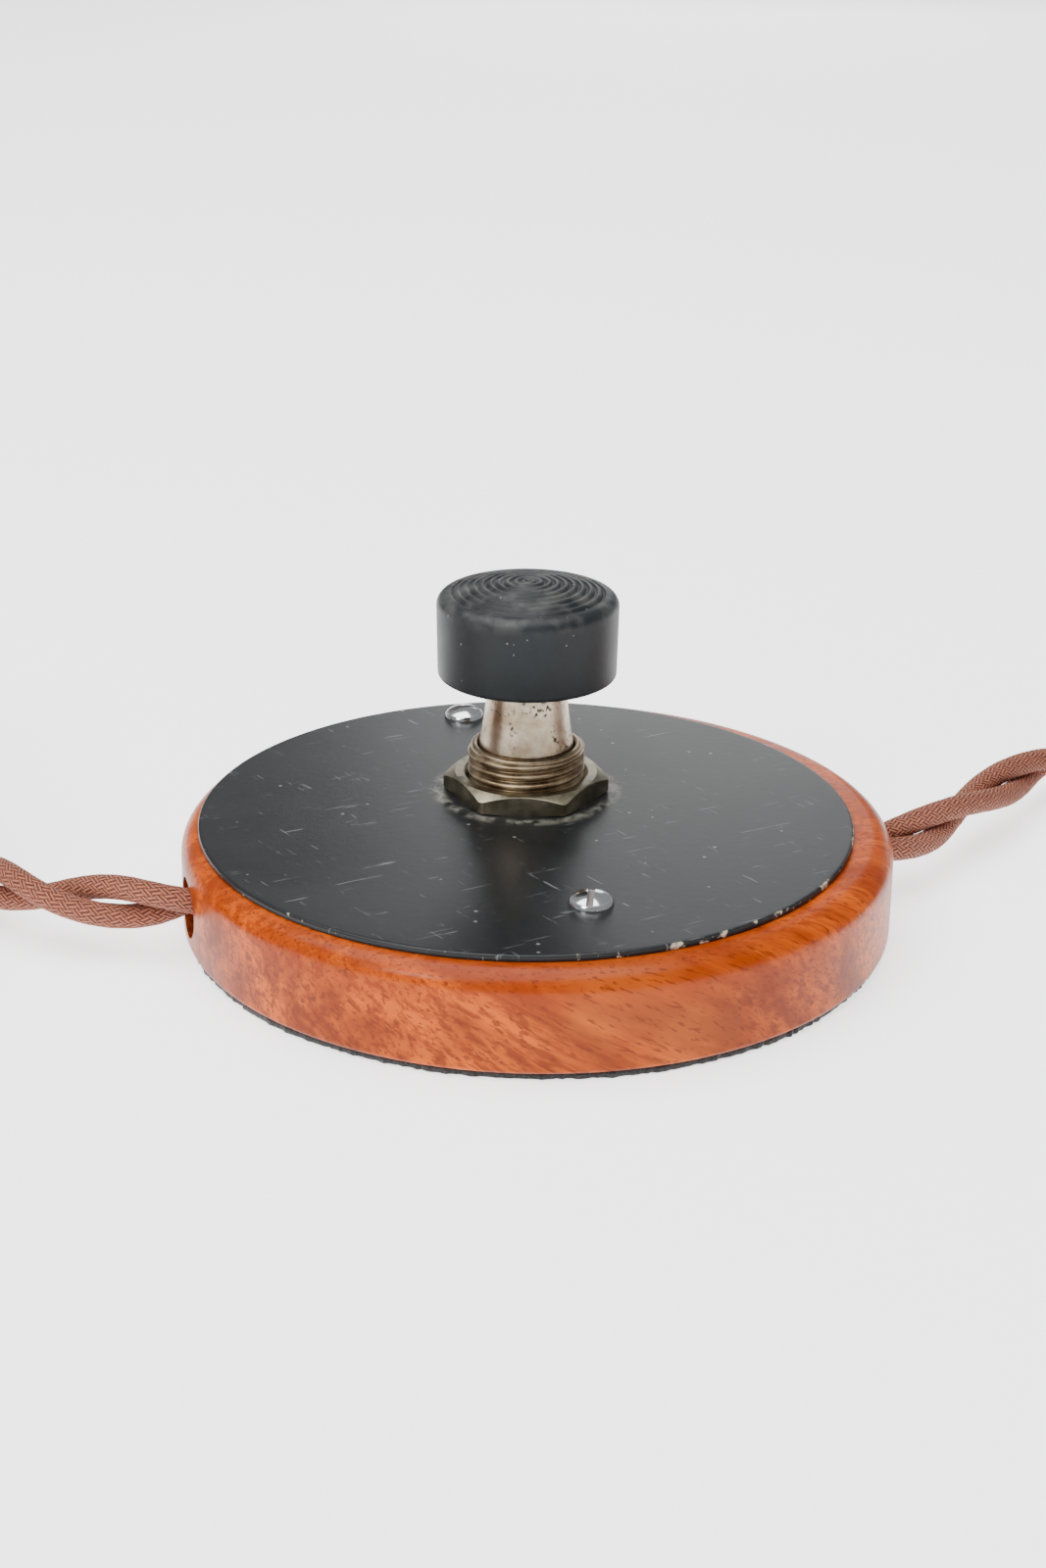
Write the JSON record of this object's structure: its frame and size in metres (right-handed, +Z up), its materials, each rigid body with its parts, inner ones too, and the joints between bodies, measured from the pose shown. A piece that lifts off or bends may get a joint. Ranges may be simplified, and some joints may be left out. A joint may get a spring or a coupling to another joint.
{
  "type": "in-line foot switch with twin textile cord",
  "caption": "Round wooden in-line floor switch with a black top plate, a ringed push button on a threaded nickel bush, and twisted textile cord at both sides.",
  "frame": {"origin": "on the floor under the centre of the wooden disc, at the underside of the felt", "axes": "+Z up along the push button's travel; +X along the run of the cord, from the mains side to the lamp side; the button sits towards +Y"},
  "size_m": [0.323, 0.1097, 0.0473],
  "materials": {
    "lacquered_wood": "orange-brown lacquered hardwood, glossy edge",
    "felt": "black wool felt",
    "fibre": "dark vulcanised fibre",
    "black_enamel": "satin charcoal enamel, worn at the rim",
    "bright_screw": "polished nickel-plated steel",
    "dull_nickel": "aged nickel plate, slightly olive",
    "worn_nickel": "warm aged nickel plate with dark pits",
    "black_phenolic": "satin black moulding",
    "brown_phenolic": "dark brown phenolic moulding",
    "brass": "plain brass",
    "spring_steel": "bright spring wire",
    "glazed_ceramic": "white glazed ceramic",
    "textile_cord": "terracotta braided textile",
    "live_insulation": "brown insulation",
    "neutral_insulation": "blue insulation",
    "waxed_thread": "pale waxed linen binding",
    "coil_tie": "black flat tie"
  },
  "bodies": {
    "switch": {"wood_base": "lacquered_wood", "felt_pad": "felt", "bottom_cover": "fibre", "cover_screw_1": "brass", "cover_screw_2": "brass", "cover_screw_3": "brass", "top_plate": "black_enamel", "plate_screw_front": "bright_screw", "plate_screw_rear": "bright_screw", "lock_nut": "dull_nickel", "lock_washer": "dull_nickel", "threaded_bush": "dull_nickel", "switch_can": "worn_nickel", "terminal_base": "brown_phenolic", "pivot_pin": "brass", "fixed_contact_left": "brass", "fixed_contact_right": "brass", "terminal_screw_left": "brass", "terminal_screw_right": "brass", "return_spring": "spring_steel", "connector_block": "glazed_ceramic", "connector_sleeve": "brass", "connector_screw_left": "brass", "connector_screw_right": "brass", "lead_mains_live": "live_insulation", "lead_mains_neutral": "neutral_insulation", "lead_lamp_live": "live_insulation", "lead_lamp_neutral": "neutral_insulation", "cord_stop_mains": "waxed_thread", "cord_stop_lamp": "waxed_thread", "mains_cord": "textile_cord", "mains_coil": "textile_cord", "mains_coil_tie": "coil_tie", "mains_tail": "textile_cord", "plug_shell_lower": "black_phenolic", "plug_shell_upper": "black_phenolic", "plug_screw": "brass", "plug_pin_left": "brass", "plug_pin_right": "brass", "lamp_cord": "textile_cord", "lamp_coil": "textile_cord", "lamp_coil_tie": "coil_tie", "lamp_tail": "textile_cord", "lamp_wire_end_1": "textile_cord", "lamp_wire_end_2": "textile_cord"},
    "button": {"button_cap": "black_phenolic", "plunger": "worn_nickel"},
    "rotor": {"ratchet_rotor": "brown_phenolic", "contact_bridge": "brass"}
  },
  "joints": [
    {"name": "button_press", "type": "slide", "parent": "switch", "child": "button", "axis": [0, 0, -1], "range_m": [0, 0.0048], "stiffness_N_per_m": 2000, "springref_m": -0.003, "deforming": ["return_spring"]},
    {"name": "rotor_turn", "type": "hinge", "parent": "switch", "child": "rotor", "pos_m": [-0.0017, 0.00915, 0.006], "axis": [0, 0, 1], "range_deg": [0, 90]}
  ],
  "couplings": [
    {"joint": "rotor_turn", "follows": "button_press", "rad_per_m": 327.24}
  ]
}
